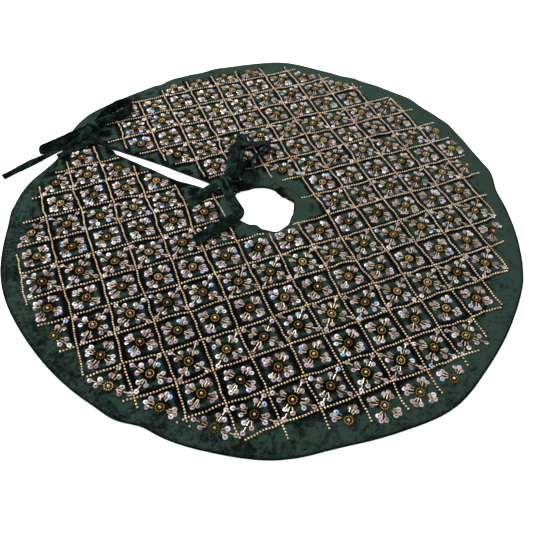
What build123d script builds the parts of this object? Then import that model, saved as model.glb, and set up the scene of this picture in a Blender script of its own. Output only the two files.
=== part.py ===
from build123d import *
import math
import os

os.makedirs("parts", exist_ok=True)

# A round velvet Christmas tree skirt, laid out flat on the floor.
# A slit runs from the trunk hole to the hem, and a bow of velvet ties closes it at each end.
# Frame: origin on the floor at the middle of the trunk hole, +Z up, millimetres and degrees.
# Azimuths are counted anticlockwise from +X.

# ---------------------------------------------------------------- driving dimensions

SKIRT_RADIUS = 610.0
TRUNK_HOLE_RADIUS = 74.0
SLIT_AZIMUTH = 148.0

LINING_THICKNESS = 1.2
VELVET_THICKNESS = 1.8
EDGE_WIDTH = 4.0  # the turned and pressed edge all round the skirt
EDGE_THICKNESS = 3.4
STITCH_INSET = 9.0  # topstitching, measured in from the hem
STITCH_WIDTH = 1.0
STITCH_THICKNESS = 0.6

CELL_ACROSS = 77.7  # beaded trellis, pitch along its shallow lines
CELL_DOWN = 73.0
ACROSS_AZIMUTH = 14.07
DOWN_AZIMUTH = -75.13
TRELLIS_CORNER = (-382.9, -184.6)  # the crossing that cells are counted from

PLAIN_BORDER = 34.0  # velvet left bare between the hem and the ends of the bead strands
MOTIF_BORDER = 23.0  # rosettes and sprays may come this near the hem
HOLE_BORDER = 20.0
SLIT_BORDER = 14.0

BEAD_RADIUS = 2.4
BEAD_PITCH = 6.1
BEADS_PER_SIDE = 11
FEWEST_BEADS = 2

ROSETTE_RADIUS = 10.5
ROSETTE_INNER_RADIUS = 6.5
ROSETTE_HEIGHT = 4.0
CENTRE_BEAD_RADIUS = 4.0
CENTRE_BEAD_HEIGHT = 4.6

SEQUIN_RADIUS = 5.0
SEQUIN_THICKNESS = 0.5
SEQUIN_LIFT = 3.2  # a sequin stands on its bead, clear of the pile
BUGLE_RADIUS = 1.1
BUGLE_LENGTH = 8.5
CHAIN_LENGTH = 19.5  # a long stalk's two bugles end to end, drawn as one rod

TIE_WIDTH = 22.0
TIE_NECK_WIDTH = 12.0  # where the knot gathers the tie
TIE_THICKNESS = 3.0
TIE_ROOT_Z = 3.5
TIE_FREE_Z = 8.4  # free tails and loops lie over the beadwork
KNOT_RADIUS = 20.0
KNOT_HEIGHT = 25.0
KNOT_ROUNDING = 8.0
KNOT_CLEARANCE = 3.0  # between a knot and the gathered neck of a tail

HEM_KNOT = (-425.0, 322.0)
HOLE_KNOT = (-95.0, 75.0)

# Velvet left bare under each knot, and under the hem bow's low pieces: x, y, radius.
BARE_SPOTS = [
    (*HEM_KNOT, KNOT_RADIUS + BEAD_RADIUS),
    (*HOLE_KNOT, KNOT_RADIUS + BEAD_RADIUS),
    (-408.0, 284.0, 15.0),
    (-393.0, 264.0, 9.0),
    (-436.0, 270.0, 16.0),
    (-444.0, 286.0, 14.0),
    (-458.0, 301.0, 20.0),
]
BARE_CELLS = [(3, 6), (10, 4), (11, -6), (12, -4), (-2, -4)]  # cells at the hem without a motif

VELVET_TOP_Z = LINING_THICKNESS + VELVET_THICKNESS

# The hem is a circle pulled about by the way the skirt lies and by the hem bow: each wave is
# its azimuth, its height as a share of the radius, and its half width in degrees.
HEM_WAVES = [
    (-120, -0.008, 7),
    (-96, 0.010, 8),
    (-85, -0.006, 6),
    (-63, 0.022, 9),
    (-51, 0.007, 20),
    (-28, 0.006, 7),
    (-3, -0.020, 13),
    (14, -0.006, 6),
    (33, 0.011, 13),
    (56, -0.012, 8),
    (66, -0.008, 6),
    (77, 0.016, 7),
    (92, -0.010, 7),
    (102, -0.012, 6),
    (119, -0.062, 24),
    (157, -0.085, 11),
    (178, -0.017, 12),
    (198, 0.010, 10),
]
HEM_STEP = 5  # degrees between the points of the hem's curve

# The slit's two edges as (distance from the trunk's axis, offset across the slit).
UPPER_EDGE = [(50, -5.0), (217, -6.0), (300, -9.0), (444, -4.5), (640, -1.5)]
LOWER_EDGE = [(50, 8.0), (155, 17.0), (235, 21.0), (330, 13.0), (434, 5.0), (640, 1.5)]


# ---------------------------------------------------------------- outlines


def hem_radius(azimuth):
    """Distance of the hem from the trunk's axis."""
    share = 1.0
    for centre, height, half_width in HEM_WAVES:
        away = (azimuth - centre + 180) % 360 - 180
        share += height * math.exp(-((away / half_width) ** 2))
    return SKIRT_RADIUS * share


def hem_points(inset):
    points = []
    for azimuth in range(0, 360, HEM_STEP):
        radius = hem_radius(azimuth) - inset
        angle = math.radians(azimuth)
        points.append((radius * math.cos(angle), radius * math.sin(angle)))
    return points


def from_slit(along, across):
    """Turns a place along and across the slit into X and Y."""
    angle = math.radians(SLIT_AZIMUTH)
    x = along * math.cos(angle) - across * math.sin(angle)
    y = along * math.sin(angle) + across * math.cos(angle)
    return (x, y)


def edge_points(edge, widening):
    return [from_slit(along, across + widening) for along, across in edge]


def hem_disc(inset):
    with BuildSketch() as disc:
        with BuildLine():
            Spline(*hem_points(inset), periodic=True)
        make_face()
    return disc.sketch


def between_curves(first_points, second_points):
    with BuildSketch() as strip:
        with BuildLine():
            first = Spline(*first_points)
            second = Spline(*second_points)
            Line(first @ 0, second @ 0)
            Line(first @ 1, second @ 1)
        make_face()
    return strip.sketch


def slit_gap(margin):
    return between_curves(edge_points(UPPER_EDGE, -margin), edge_points(LOWER_EDGE, margin))


def skirt_ground(inset):
    """The whole skirt in plan, with every edge drawn in by the inset."""
    with BuildSketch() as ground:
        add(hem_disc(inset))
        Circle(TRUNK_HOLE_RADIUS + inset, mode=Mode.SUBTRACT)
        add(slit_gap(inset), mode=Mode.SUBTRACT)
    return ground.sketch


def slit_edge_strip(edge, widening):
    """One turned edge of the slit, from the hole's edge to the hem's."""
    with BuildSketch() as strip:
        add(hem_disc(EDGE_WIDTH))
        Circle(TRUNK_HOLE_RADIUS + EDGE_WIDTH, mode=Mode.SUBTRACT)
        add(between_curves(edge_points(edge, 0), edge_points(edge, widening)), mode=Mode.INTERSECT)
    return strip.sketch


# ---------------------------------------------------------------- cloth

with BuildPart() as lining:
    with BuildSketch():
        add(skirt_ground(EDGE_WIDTH))
    extrude(amount=LINING_THICKNESS)

with BuildPart() as velvet_top:
    with BuildSketch(Plane.XY.offset(LINING_THICKNESS)):
        add(skirt_ground(EDGE_WIDTH))
    extrude(amount=VELVET_THICKNESS)

with BuildPart() as hem_edge:
    with BuildSketch():
        add(hem_disc(0))
        add(hem_disc(EDGE_WIDTH), mode=Mode.SUBTRACT)
        add(slit_gap(0), mode=Mode.SUBTRACT)
    extrude(amount=EDGE_THICKNESS)

with BuildPart() as hole_edge:
    with BuildSketch():
        Circle(TRUNK_HOLE_RADIUS + EDGE_WIDTH)
        Circle(TRUNK_HOLE_RADIUS, mode=Mode.SUBTRACT)
        add(slit_gap(0), mode=Mode.SUBTRACT)
    extrude(amount=EDGE_THICKNESS)

with BuildPart() as slit_edge_upper:
    with BuildSketch():
        add(slit_edge_strip(UPPER_EDGE, -EDGE_WIDTH))
    extrude(amount=EDGE_THICKNESS)

with BuildPart() as slit_edge_lower:
    with BuildSketch():
        add(slit_edge_strip(LOWER_EDGE, EDGE_WIDTH))
    extrude(amount=EDGE_THICKNESS)

with BuildPart() as hem_stitching:
    with BuildSketch(Plane.XY.offset(VELVET_TOP_Z)):
        add(hem_disc(STITCH_INSET))
        add(hem_disc(STITCH_INSET + STITCH_WIDTH), mode=Mode.SUBTRACT)
        add(slit_gap(EDGE_WIDTH), mode=Mode.SUBTRACT)
    extrude(amount=STITCH_THICKNESS)


# ---------------------------------------------------------------- where the beadwork goes


def edge_across(edge, along):
    """The slit edge's offset at a distance from the trunk, on straight runs between its points."""
    for (near, near_across), (far, far_across) in zip(edge, edge[1:]):
        if along <= far:
            return near_across + (far_across - near_across) * (along - near) / (far - near)
    return edge[-1][1]


def on_beaded_ground(x, y, clear=0.0, hem_border=PLAIN_BORDER):
    """Is this place inside the beaded part of the velvet, with room to spare?"""
    radius = math.hypot(x, y)
    if radius > hem_radius(math.degrees(math.atan2(y, x))) - hem_border - clear:
        return False
    if radius < TRUNK_HOLE_RADIUS + HOLE_BORDER + clear:
        return False
    slit = math.radians(SLIT_AZIMUTH)
    along = x * math.cos(slit) + y * math.sin(slit)
    across = y * math.cos(slit) - x * math.sin(slit)
    border = SLIT_BORDER + clear
    if along > 0:
        upper = edge_across(UPPER_EDGE, along) - border
        lower = edge_across(LOWER_EDGE, along) + border
        if upper < across < lower:
            return False
    return all(math.hypot(x - spot_x, y - spot_y) > bare + clear for spot_x, spot_y, bare in BARE_SPOTS)


def trellis(across, down):
    """X and Y of a place counted in cells from the trellis's corner."""
    a, d = math.radians(ACROSS_AZIMUTH), math.radians(DOWN_AZIMUTH)
    x = TRELLIS_CORNER[0] + across * CELL_ACROSS * math.cos(a) + down * CELL_DOWN * math.cos(d)
    y = TRELLIS_CORNER[1] + across * CELL_ACROSS * math.sin(a) + down * CELL_DOWN * math.sin(d)
    return (x, y)


CELLS_ACROSS = range(-3, 14)
CELLS_DOWN = range(-10, 9)


def longest_run(places):
    """The longest unbroken stretch of a row of places in which the missing ones are None."""
    best, run = [], []
    for place in places:
        run = run + [place] if place else []
        best = max(best, run, key=len)
    return best


def strand_runs(step_across, step_down):
    """The beaded stretch of each cell side, grouped by how many beads it holds."""
    runs = {}
    azimuth = ACROSS_AZIMUTH if step_across else DOWN_AZIMUTH
    side = CELL_ACROSS if step_across else CELL_DOWN
    for across in CELLS_ACROSS:
        for down in CELLS_DOWN:
            places = []
            for bead in range(BEADS_PER_SIDE):
                share = 0.5 + (bead - (BEADS_PER_SIDE - 1) / 2) * BEAD_PITCH / side
                place = trellis(across + share * step_across, down + share * step_down)
                places.append(place if on_beaded_ground(*place) else None)
            kept = longest_run(places)
            if len(kept) >= FEWEST_BEADS:
                (x0, y0), (x1, y1) = kept[0], kept[-1]
                middle = ((x0 + x1) / 2, (y0 + y1) / 2, VELVET_TOP_Z + BEAD_RADIUS)
                runs.setdefault(len(kept), []).append(Location(middle, (0, 0, azimuth)))
    return runs


def crossings():
    spots = []
    for across in CELLS_ACROSS:
        for down in CELLS_DOWN:
            x, y = trellis(across, down)
            if on_beaded_ground(x, y, BEAD_RADIUS):
                spots.append((x, y, VELVET_TOP_Z + BEAD_RADIUS))
    return spots


def has_motif(across, down):
    """Does this cell hold a rosette?"""
    place = trellis(across + 0.5, down + 0.5)
    return (across, down) not in BARE_CELLS and on_beaded_ground(*place, ROSETTE_RADIUS, MOTIF_BORDER)


def motif_centres():
    centres = []
    for across in CELLS_ACROSS:
        for down in CELLS_DOWN:
            x, y = trellis(across + 0.5, down + 0.5)
            if has_motif(across, down):
                centres.append((x, y))
    return centres


def sprays(long_stalk, reach):
    """Every spray of one kind, as (centre of its cell, azimuth towards the cell's corner).

    Rows of cells take the two kinds in turn.
    """
    found = []
    for across in CELLS_ACROSS:
        for down in CELLS_DOWN:
            if (down % 2 == 1) != long_stalk or not has_motif(across, down):
                continue
            cx, cy = trellis(across + 0.5, down + 0.5)
            for side_across in (0, 1):
                for side_down in (0, 1):
                    corner = trellis(across + side_across, down + side_down)
                    azimuth = math.atan2(corner[1] - cy, corner[0] - cx)
                    tip = (cx + reach * math.cos(azimuth), cy + reach * math.sin(azimuth))
                    if on_beaded_ground(*tip, SEQUIN_RADIUS, MOTIF_BORDER):
                        found.append((cx, cy, azimuth))
    return found


def spray_spots(found, pieces, z):
    """Places the pieces of a spray, each given as (out, aside, turn) in the spray's own frame."""
    spots = []
    for cx, cy, azimuth in found:
        for out, aside, turn in pieces:
            x = cx + out * math.cos(azimuth) - aside * math.sin(azimuth)
            y = cy + out * math.sin(azimuth) + aside * math.cos(azimuth)
            spots.append(Location((x, y, z), (0, 0, math.degrees(azimuth) + turn)))
    return spots


# A spray is three sequins on bugle-bead stalks. (out from the rosette, aside, turn)
LONG_REACH = 42.0
SHORT_REACH = 30.0
LONG_SEQUINS = [(LONG_REACH, 0, 0), (23, 9.5, 0), (23, -9.5, 0)]
SHORT_SEQUINS = [(SHORT_REACH, 0, 0), (23, 9.5, 0), (23, -9.5, 0)]
LONG_CHAINS = [(24, 0, 0)]
LONG_BUGLES = [(17.5, 5.5, 40), (17.5, -5.5, -40)]
SHORT_BUGLES = [(19, 0, 0), (17.5, 5.5, 40), (17.5, -5.5, -40)]

long_sprays = sprays(True, LONG_REACH)
short_sprays = sprays(False, SHORT_REACH)


# ---------------------------------------------------------------- beadwork


def bead_strand_part(runs):
    with BuildPart() as strands:
        for count, spots in runs.items():
            with Locations(*spots):
                Cylinder(BEAD_RADIUS, count * BEAD_PITCH - (BEAD_PITCH - 2 * BEAD_RADIUS),
                         rotation=(0, 90, 0))
    return strands


def disc_part(spots):
    with BuildPart() as discs:
        with Locations(*spots):
            Cylinder(SEQUIN_RADIUS, SEQUIN_THICKNESS)
    return discs


def bugle_part(stalks):
    """Bugle beads, given as pairs of a length and the spots where beads of that length lie."""
    with BuildPart() as bugles:
        for length, spots in stalks:
            with Locations(*spots):
                Cylinder(BUGLE_RADIUS, length, rotation=(0, 90, 0))
    return bugles


bead_strands_across = bead_strand_part(strand_runs(1, 0))
bead_strands_down = bead_strand_part(strand_runs(0, 1))

with BuildPart() as crossing_beads:
    with Locations(*crossings()):
        Sphere(BEAD_RADIUS)

rosette_spots = [(x, y, VELVET_TOP_Z) for x, y in motif_centres()]
ON_ITS_BASE = (Align.CENTER, Align.CENTER, Align.MIN)

with BuildPart() as rosette_rings:
    with Locations(*rosette_spots):
        Cylinder(ROSETTE_RADIUS, ROSETTE_HEIGHT, align=ON_ITS_BASE)
    with Locations(*rosette_spots):
        Cylinder(ROSETTE_INNER_RADIUS, ROSETTE_HEIGHT, align=ON_ITS_BASE, mode=Mode.SUBTRACT)

with BuildPart() as rosette_centres:
    with Locations(*rosette_spots):
        Cylinder(CENTRE_BEAD_RADIUS, CENTRE_BEAD_HEIGHT, align=ON_ITS_BASE)

sequin_z = VELVET_TOP_Z + SEQUIN_LIFT
bugle_z = VELVET_TOP_Z + BUGLE_RADIUS
sequins_long_sprays = disc_part(spray_spots(long_sprays, LONG_SEQUINS, sequin_z))
sequins_short_sprays = disc_part(spray_spots(short_sprays, SHORT_SEQUINS, sequin_z))
bugles_long_sprays = bugle_part([
    (CHAIN_LENGTH, spray_spots(long_sprays, LONG_CHAINS, bugle_z)),
    (BUGLE_LENGTH, spray_spots(long_sprays, LONG_BUGLES, bugle_z)),
])
bugles_short_sprays = bugle_part([
    (BUGLE_LENGTH, spray_spots(short_sprays, SHORT_BUGLES, bugle_z)),
])


# ---------------------------------------------------------------- bows


def beside_knot(knot, azimuth, distance):
    angle = math.radians(azimuth)
    return (knot[0] + distance * math.cos(angle), knot[1] + distance * math.sin(angle))


def knot_part(knot):
    """A knot: the gathered lump that holds a bow's loops and tails."""
    with BuildPart() as lump:
        with BuildSketch(Plane.XY.offset(TIE_ROOT_Z)):
            with Locations(knot):
                Circle(KNOT_RADIUS)
        extrude(amount=KNOT_HEIGHT)
        fillet(lump.edges().group_by(Axis.Z)[-1], KNOT_ROUNDING)
    return lump


def strap_part(points, width, z, thickness=TIE_THICKNESS):
    """A flat strap lying along a line of points."""
    with BuildPart() as strap:
        with BuildSketch(Plane.XY.offset(z)):
            with BuildLine():
                Polyline(*points)
            trace(line_width=width)
        extrude(amount=thickness)
    return strap


def tail_part(neck, rest):
    """A free tail: a gathered neck out of the knot, then the full width of the tie."""
    with BuildPart() as tail:
        with BuildSketch(Plane.XY.offset(TIE_FREE_Z)):
            with BuildLine():
                Polyline(*neck)
            trace(line_width=TIE_NECK_WIDTH)
        extrude(amount=TIE_THICKNESS)
        with BuildSketch(Plane.XY.offset(TIE_FREE_Z)):
            with BuildLine():
                Polyline(neck[-1], *rest)
            trace(line_width=TIE_WIDTH)
        extrude(amount=TIE_THICKNESS)
    return tail


NECK_START = KNOT_RADIUS + KNOT_CLEARANCE
NECK_END = 50.0

hem_bow_knot = knot_part(HEM_KNOT)
hole_bow_knot = knot_part(HOLE_KNOT)

# The ties are sewn into the slit's four corners and run from there to the knots.
HEM_ROOT_WIDTH = 14.0
HOLE_ROOT_WIDTH = 12.0
hem_tie_root_upper = strap_part([(-376, 247), (-405, 267), (-414, 300)], HEM_ROOT_WIDTH, TIE_ROOT_Z)
hem_tie_root_lower = strap_part([(-421, 265), (-446, 270), (-442, 292)], HEM_ROOT_WIDTH, TIE_ROOT_Z)
hole_tie_root_upper = strap_part([(-60, 50), (-77, 62)], HOLE_ROOT_WIDTH, TIE_ROOT_Z)
hole_tie_root_lower = strap_part([(-78, 32), (-92, 48)], HOLE_ROOT_WIDTH, TIE_ROOT_Z)

# Hem bow: both loops stand on edge, and the two tails lie out over the hem.
LOOP_HEIGHT = 22.0
LOOP_START = KNOT_RADIUS + 1.0

RIGHT_LOOP_AZIMUTH = 42.0
RIGHT_LOOP_LENGTH = 118.0
RIGHT_LOOP_WIDTH = 42.0
with BuildPart() as hem_bow_loop_right:
    right_middle = beside_knot(HEM_KNOT, RIGHT_LOOP_AZIMUTH, LOOP_START + RIGHT_LOOP_LENGTH / 2)
    with BuildSketch(Plane.XY.offset(TIE_FREE_Z)):
        with Locations(Location((*right_middle, 0), (0, 0, RIGHT_LOOP_AZIMUTH))):
            Ellipse(RIGHT_LOOP_LENGTH / 2, RIGHT_LOOP_WIDTH / 2)
            Ellipse(RIGHT_LOOP_LENGTH / 2 - TIE_THICKNESS, RIGHT_LOOP_WIDTH / 2 - TIE_THICKNESS,
                    mode=Mode.SUBTRACT)
    extrude(amount=LOOP_HEIGHT)

LEFT_LOOP_AZIMUTH = 213.0
LEFT_LOOP_LENGTH = 148.0
LEFT_LOOP_WIDTH = 18.0
LEFT_LOOP_Z = 4.0
with BuildPart() as hem_bow_loop_left:
    left_middle = beside_knot(HEM_KNOT, LEFT_LOOP_AZIMUTH, LOOP_START + LEFT_LOOP_LENGTH / 2)
    with BuildSketch(Plane.XY.offset(LEFT_LOOP_Z)):
        with Locations(Location((*left_middle, 0), (0, 0, LEFT_LOOP_AZIMUTH))):
            SlotOverall(LEFT_LOOP_LENGTH, LEFT_LOOP_WIDTH)
            SlotOverall(LEFT_LOOP_LENGTH - 2 * TIE_THICKNESS, LEFT_LOOP_WIDTH - 2 * TIE_THICKNESS,
                        mode=Mode.SUBTRACT)
    extrude(amount=LOOP_HEIGHT)

LONG_TAIL_AZIMUTH = 245.0
hem_bow_tail_long = tail_part(
    [beside_knot(HEM_KNOT, LONG_TAIL_AZIMUTH, NECK_START),
     beside_knot(HEM_KNOT, LONG_TAIL_AZIMUTH, NECK_END)],
    [(-492, 250), (-546, 216), (-600, 181), (-636, 158)],
)

SHORT_TAIL_AZIMUTH = 287.0
hem_bow_tail_short = tail_part(
    [beside_knot(HEM_KNOT, SHORT_TAIL_AZIMUTH, NECK_START),
     beside_knot(HEM_KNOT, SHORT_TAIL_AZIMUTH, NECK_END)],
    [(-455, 240), (-519, 204)],
)

# Hole bow: one large flat loop over a spare end of the tie, a small crumpled loop, two tails.
OVER_LOOP_Z = 11.8
with BuildPart() as hole_bow_loop_large:
    with BuildSketch(Plane.XY.offset(OVER_LOOP_Z)):
        with BuildLine():
            Polyline((-70, 108), (-52, 222), (37, 218), close=True)
        trace(line_width=TIE_WIDTH)
        with Locations(HOLE_KNOT):
            Circle(KNOT_RADIUS + KNOT_CLEARANCE, mode=Mode.SUBTRACT)
    extrude(amount=TIE_THICKNESS)

hole_bow_under_strap = strap_part([(-62, 120), (-27, 270)], TIE_WIDTH, TIE_FREE_Z)

SMALL_LOOP_HEIGHT = 16.0
SMALL_LOOP_ROUNDING = 4.0
with BuildPart() as hole_bow_loop_small:
    with BuildSketch(Plane.XY.offset(TIE_FREE_Z)):
        with BuildLine():
            Polyline((-60, 60), (-26, 64), (-8, 98), (-8, 136), (-22, 128), (-47, 100), (-62, 84),
                     close=True)
        make_face()
    extrude(amount=SMALL_LOOP_HEIGHT)
    fillet(hole_bow_loop_small.edges().group_by(Axis.Z)[-1], SMALL_LOOP_ROUNDING)

LEFT_TAIL_AZIMUTH = 215.0
hole_bow_tail_left = tail_part(
    [beside_knot(HOLE_KNOT, LEFT_TAIL_AZIMUTH, NECK_START),
     beside_knot(HOLE_KNOT, LEFT_TAIL_AZIMUTH, NECK_END)],
    [(-184, 18)],
)

FRONT_TAIL_AZIMUTH = 276.0
hole_bow_tail_front = tail_part(
    [beside_knot(HOLE_KNOT, FRONT_TAIL_AZIMUTH, NECK_START),
     beside_knot(HOLE_KNOT, FRONT_TAIL_AZIMUTH, NECK_END)],
    [(-76, -8), (-74, -34), (-172, -100)],
)


# ---------------------------------------------------------------- export

pieces = {
    "lining": lining,
    "velvet_top": velvet_top,
    "hem_edge": hem_edge,
    "hole_edge": hole_edge,
    "slit_edge_upper": slit_edge_upper,
    "slit_edge_lower": slit_edge_lower,
    "hem_stitching": hem_stitching,
    "bead_strands_across": bead_strands_across,
    "bead_strands_down": bead_strands_down,
    "crossing_beads": crossing_beads,
    "rosette_rings": rosette_rings,
    "rosette_centres": rosette_centres,
    "sequins_long_sprays": sequins_long_sprays,
    "sequins_short_sprays": sequins_short_sprays,
    "bugles_long_sprays": bugles_long_sprays,
    "bugles_short_sprays": bugles_short_sprays,
    "hem_tie_root_upper": hem_tie_root_upper,
    "hem_tie_root_lower": hem_tie_root_lower,
    "hem_bow_knot": hem_bow_knot,
    "hem_bow_loop_right": hem_bow_loop_right,
    "hem_bow_loop_left": hem_bow_loop_left,
    "hem_bow_tail_long": hem_bow_tail_long,
    "hem_bow_tail_short": hem_bow_tail_short,
    "hole_tie_root_upper": hole_tie_root_upper,
    "hole_tie_root_lower": hole_tie_root_lower,
    "hole_bow_knot": hole_bow_knot,
    "hole_bow_loop_large": hole_bow_loop_large,
    "hole_bow_under_strap": hole_bow_under_strap,
    "hole_bow_loop_small": hole_bow_loop_small,
    "hole_bow_tail_left": hole_bow_tail_left,
    "hole_bow_tail_front": hole_bow_tail_front,
}

for name, piece in pieces.items():
    piece.part.label = name
    export_step(piece.part, f"parts/{name}.step")
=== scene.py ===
import bpy
import math
import random
from mathutils import Euler, Matrix, Vector, noise


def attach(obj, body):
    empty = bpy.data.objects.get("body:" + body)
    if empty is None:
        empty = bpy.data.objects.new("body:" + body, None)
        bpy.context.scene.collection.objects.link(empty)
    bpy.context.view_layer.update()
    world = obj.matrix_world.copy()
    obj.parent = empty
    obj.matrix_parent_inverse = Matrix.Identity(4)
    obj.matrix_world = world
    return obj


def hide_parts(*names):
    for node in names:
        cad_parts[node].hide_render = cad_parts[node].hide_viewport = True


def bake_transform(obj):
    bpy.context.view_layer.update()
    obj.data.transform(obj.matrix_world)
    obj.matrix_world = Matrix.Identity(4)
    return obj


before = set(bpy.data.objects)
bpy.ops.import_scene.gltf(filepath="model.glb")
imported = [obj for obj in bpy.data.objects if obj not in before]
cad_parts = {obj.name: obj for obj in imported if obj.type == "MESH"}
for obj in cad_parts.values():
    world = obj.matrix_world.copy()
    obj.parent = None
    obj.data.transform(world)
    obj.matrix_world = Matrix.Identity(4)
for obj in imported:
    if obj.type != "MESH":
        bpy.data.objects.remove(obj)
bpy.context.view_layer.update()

# A beaded velvet tree skirt, laid out on the floor and closed by two bows.
# Everything is in metres and stands in the frame's own axes: the trunk's axis is Z, the floor is
# z = 0, and azimuths are degrees anticlockwise from +X.


# ---------------------------------------------------------------- how the cloth lies
# The skirt is one limp double layer, so its hem wanders in and out and its face rises in low
# swells. Every bead sewn to it and every tie that lies on it follows the height given here.

MM = 0.001
SKIRT_RADIUS = 0.610
SLIT_AZIMUTH = 148.0
PRESSED_HEIGHT = 3.0 * MM      # both layers pressed flat on the floor
HEM_WAVES = [                  # azimuth, height as a share of the radius, half width in degrees
    (-120, -0.008, 7), (-96, 0.010, 8), (-85, -0.006, 6), (-63, 0.022, 9), (-51, 0.007, 20),
    (-28, 0.006, 7), (-3, -0.020, 13), (14, -0.006, 6), (33, 0.011, 13), (56, -0.012, 8),
    (66, -0.008, 6), (77, 0.016, 7), (92, -0.010, 7), (102, -0.012, 6), (119, -0.062, 24),
    (157, -0.085, 11), (178, -0.017, 12), (198, 0.010, 10),
    (-124.5, 0.007, 3), (-119, -0.006, 2.5), (56, 0.006, 2), (60, -0.005, 2), (39, 0.006, 2.5),
    (34, -0.005, 3), (6, 0.011, 3.5), (-1, -0.006, 3), (115, -0.006, 1.5), (111, 0.005, 2),
]
HOLE_RIM = [                   # azimuth, radius in mm: the trunk hole's rim is a little wavy
    (0, 70), (15, 58), (30, 49), (45, 50), (60, 54), (90, 58), (120, 63), (150, 79), (170, 77),
    (190, 71), (215, 79), (232, 76), (245, 69), (262, 80), (282, 90), (300, 84), (325, 73), (345, 70),
]
# The slit's edges, as (distance from the trunk's axis, offset across the slit) in mm. The two
# bows draw them together at the trunk hole and at the hem.
UPPER_EDGE = [(50, -2.5), (110, -3.5), (217, -6.0), (300, -9.0), (420, -6.0), (440, -4.0), (640, -2.0)]
LOWER_EDGE = [(50, -1.0), (132, -1.0), (162, 16.0), (235, 21.0), (330, 13.0), (420, 6.5),
              (440, -2.8), (640, -1.0)]
# Low swells of the cloth: x, y, height, half length, half width (mm) and direction (degrees).
SWELLS = [
    (118, -14, 9.5, 50, 17, -14), (60, 33, 14.0, 26, 13, 122), (96, 62, -2.5, 45, 16, 25),
    (-250, -20, 4.5, 150, 30, 20), (-120, -230, 4.0, 120, 26, 70), (180, -260, 4.5, 140, 28, -52),
    (330, -60, 4.0, 130, 30, -8), (300, 200, 4.0, 140, 28, 36), (60, 330, 4.0, 120, 26, 82),
    (-200, 300, 3.5, 110, 26, 120), (-430, -120, 3.5, 110, 24, 200), (10, -470, 5.0, 80, 26, 95),
    (-330, -400, 4.5, 90, 22, 232), (470, -260, 4.0, 90, 24, -30), (500, 230, 4.5, 90, 24, 25),
    (-60, 520, 3.0, 90, 22, 100), (-590, 30, 4.0, 60, 24, 176),
]
PRESSED_SPOTS = [(-425, 322, 60), (-95, 75, 45)]   # the bows' knots hold the cloth down


def smooth_step(share):
    share = min(max(share, 0.0), 1.0)
    return share * share * (3 - 2 * share)


def hem_radius(azimuth):
    share = 1.0
    for centre, height, half_width in HEM_WAVES:
        away = (azimuth - centre + 180) % 360 - 180
        share += height * math.exp(-((away / half_width) ** 2))
    return SKIRT_RADIUS * share


def hole_radius(azimuth):
    azimuth %= 360
    rim = HOLE_RIM + [(360 + HOLE_RIM[0][0], HOLE_RIM[0][1])]
    for (start, near), (end, far) in zip(rim, rim[1:]):
        if start <= azimuth <= end:
            return MM * (near + (far - near) * smooth_step((azimuth - start) / (end - start)))


def edge_across(edge, along):
    along = along / MM
    for (near, near_across), (far, far_across) in zip(edge, edge[1:]):
        if along <= far:
            share = max(0.0, (along - near) / (far - near))
            return MM * (near_across + (far_across - near_across) * smooth_step(share))
    return MM * edge[-1][1]


def cloth_height(x, y):
    """Height of the velvet's face above the floor."""
    swell = 0.0
    for centre_x, centre_y, height, half_long, half_wide, turn in SWELLS:
        dx, dy = x / MM - centre_x, y / MM - centre_y
        turned = math.radians(turn)
        along = dx * math.cos(turned) + dy * math.sin(turned)
        aside = dy * math.cos(turned) - dx * math.sin(turned)
        swell += height * math.exp(-((along / half_long) ** 2) - (aside / half_wide) ** 2)
    swell += 2.4 * max(0.0, noise.noise(Vector((x * 9.0, y * 9.0, 3.1))) + 0.1)
    swell += 1.1 * max(-0.5, noise.noise(Vector((x * 26.0, y * 26.0, 8.7))))
    held = 1.0
    for spot_x, spot_y, reach in PRESSED_SPOTS:
        away = math.hypot(x / MM - spot_x, y / MM - spot_y)
        held *= smooth_step((away - 0.35 * reach) / reach)
    return PRESSED_HEIGHT + MM * max(0.0, swell) * held


def cloth_normal(x, y):
    step = 3 * MM
    rise_x = cloth_height(x + step, y) - cloth_height(x - step, y)
    rise_y = cloth_height(x, y + step) - cloth_height(x, y - step)
    return Vector((-rise_x, -rise_y, 2 * step)).normalized()


def skirt_place(around, outward):
    """X and Y for a share of the way round from the slit's lower edge to its upper edge, and a
    share of the way out from the hole's rim to the hem."""
    azimuth = SLIT_AZIMUTH + 360 * around
    radius = hole_radius(azimuth) + outward * (hem_radius(azimuth) - hole_radius(azimuth))
    lower = math.degrees(math.asin(edge_across(LOWER_EDGE, radius) / radius))
    upper = math.degrees(math.asin(edge_across(UPPER_EDGE, radius) / radius))
    azimuth = math.radians(SLIT_AZIMUTH + lower + around * (360 + upper - lower))
    return radius * math.cos(azimuth), radius * math.sin(azimuth)


def linear(code):
    """An sRGB hex colour as linear RGBA."""
    channels = [int(code[i:i + 2], 16) / 255 for i in (1, 3, 5)]
    return [c / 12.92 if c <= 0.04045 else ((c + 0.055) / 1.055) ** 2.4 for c in channels] + [1.0]


def add_node(tree, kind, settings=None, links=None):
    """Adds a node, sets its properties and input values, and links other sockets into it."""
    made = tree.nodes.new(kind)
    for name, value in (settings or {}).items():
        if isinstance(name, str) and hasattr(made, name):
            setattr(made, name, value)
        else:
            made.inputs[name].default_value = value
    for name, socket in (links or {}).items():
        tree.links.new(socket, made.inputs[name])
    return made


def new_material(name):
    material = bpy.data.materials.new(name)
    material.use_nodes = True
    material.node_tree.nodes.clear()
    return material, material.node_tree


def ramp(tree, factor, stops):
    made = add_node(tree, "ShaderNodeValToRGB", links={"Fac": factor})
    while len(made.color_ramp.elements) < len(stops):
        made.color_ramp.elements.new(0.5)
    for element, (place, colour) in zip(made.color_ramp.elements, stops):
        element.position = place
        element.color = linear(colour) if isinstance(colour, str) else (colour,) * 3 + (1.0,)
    return made.outputs["Color"]


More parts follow.
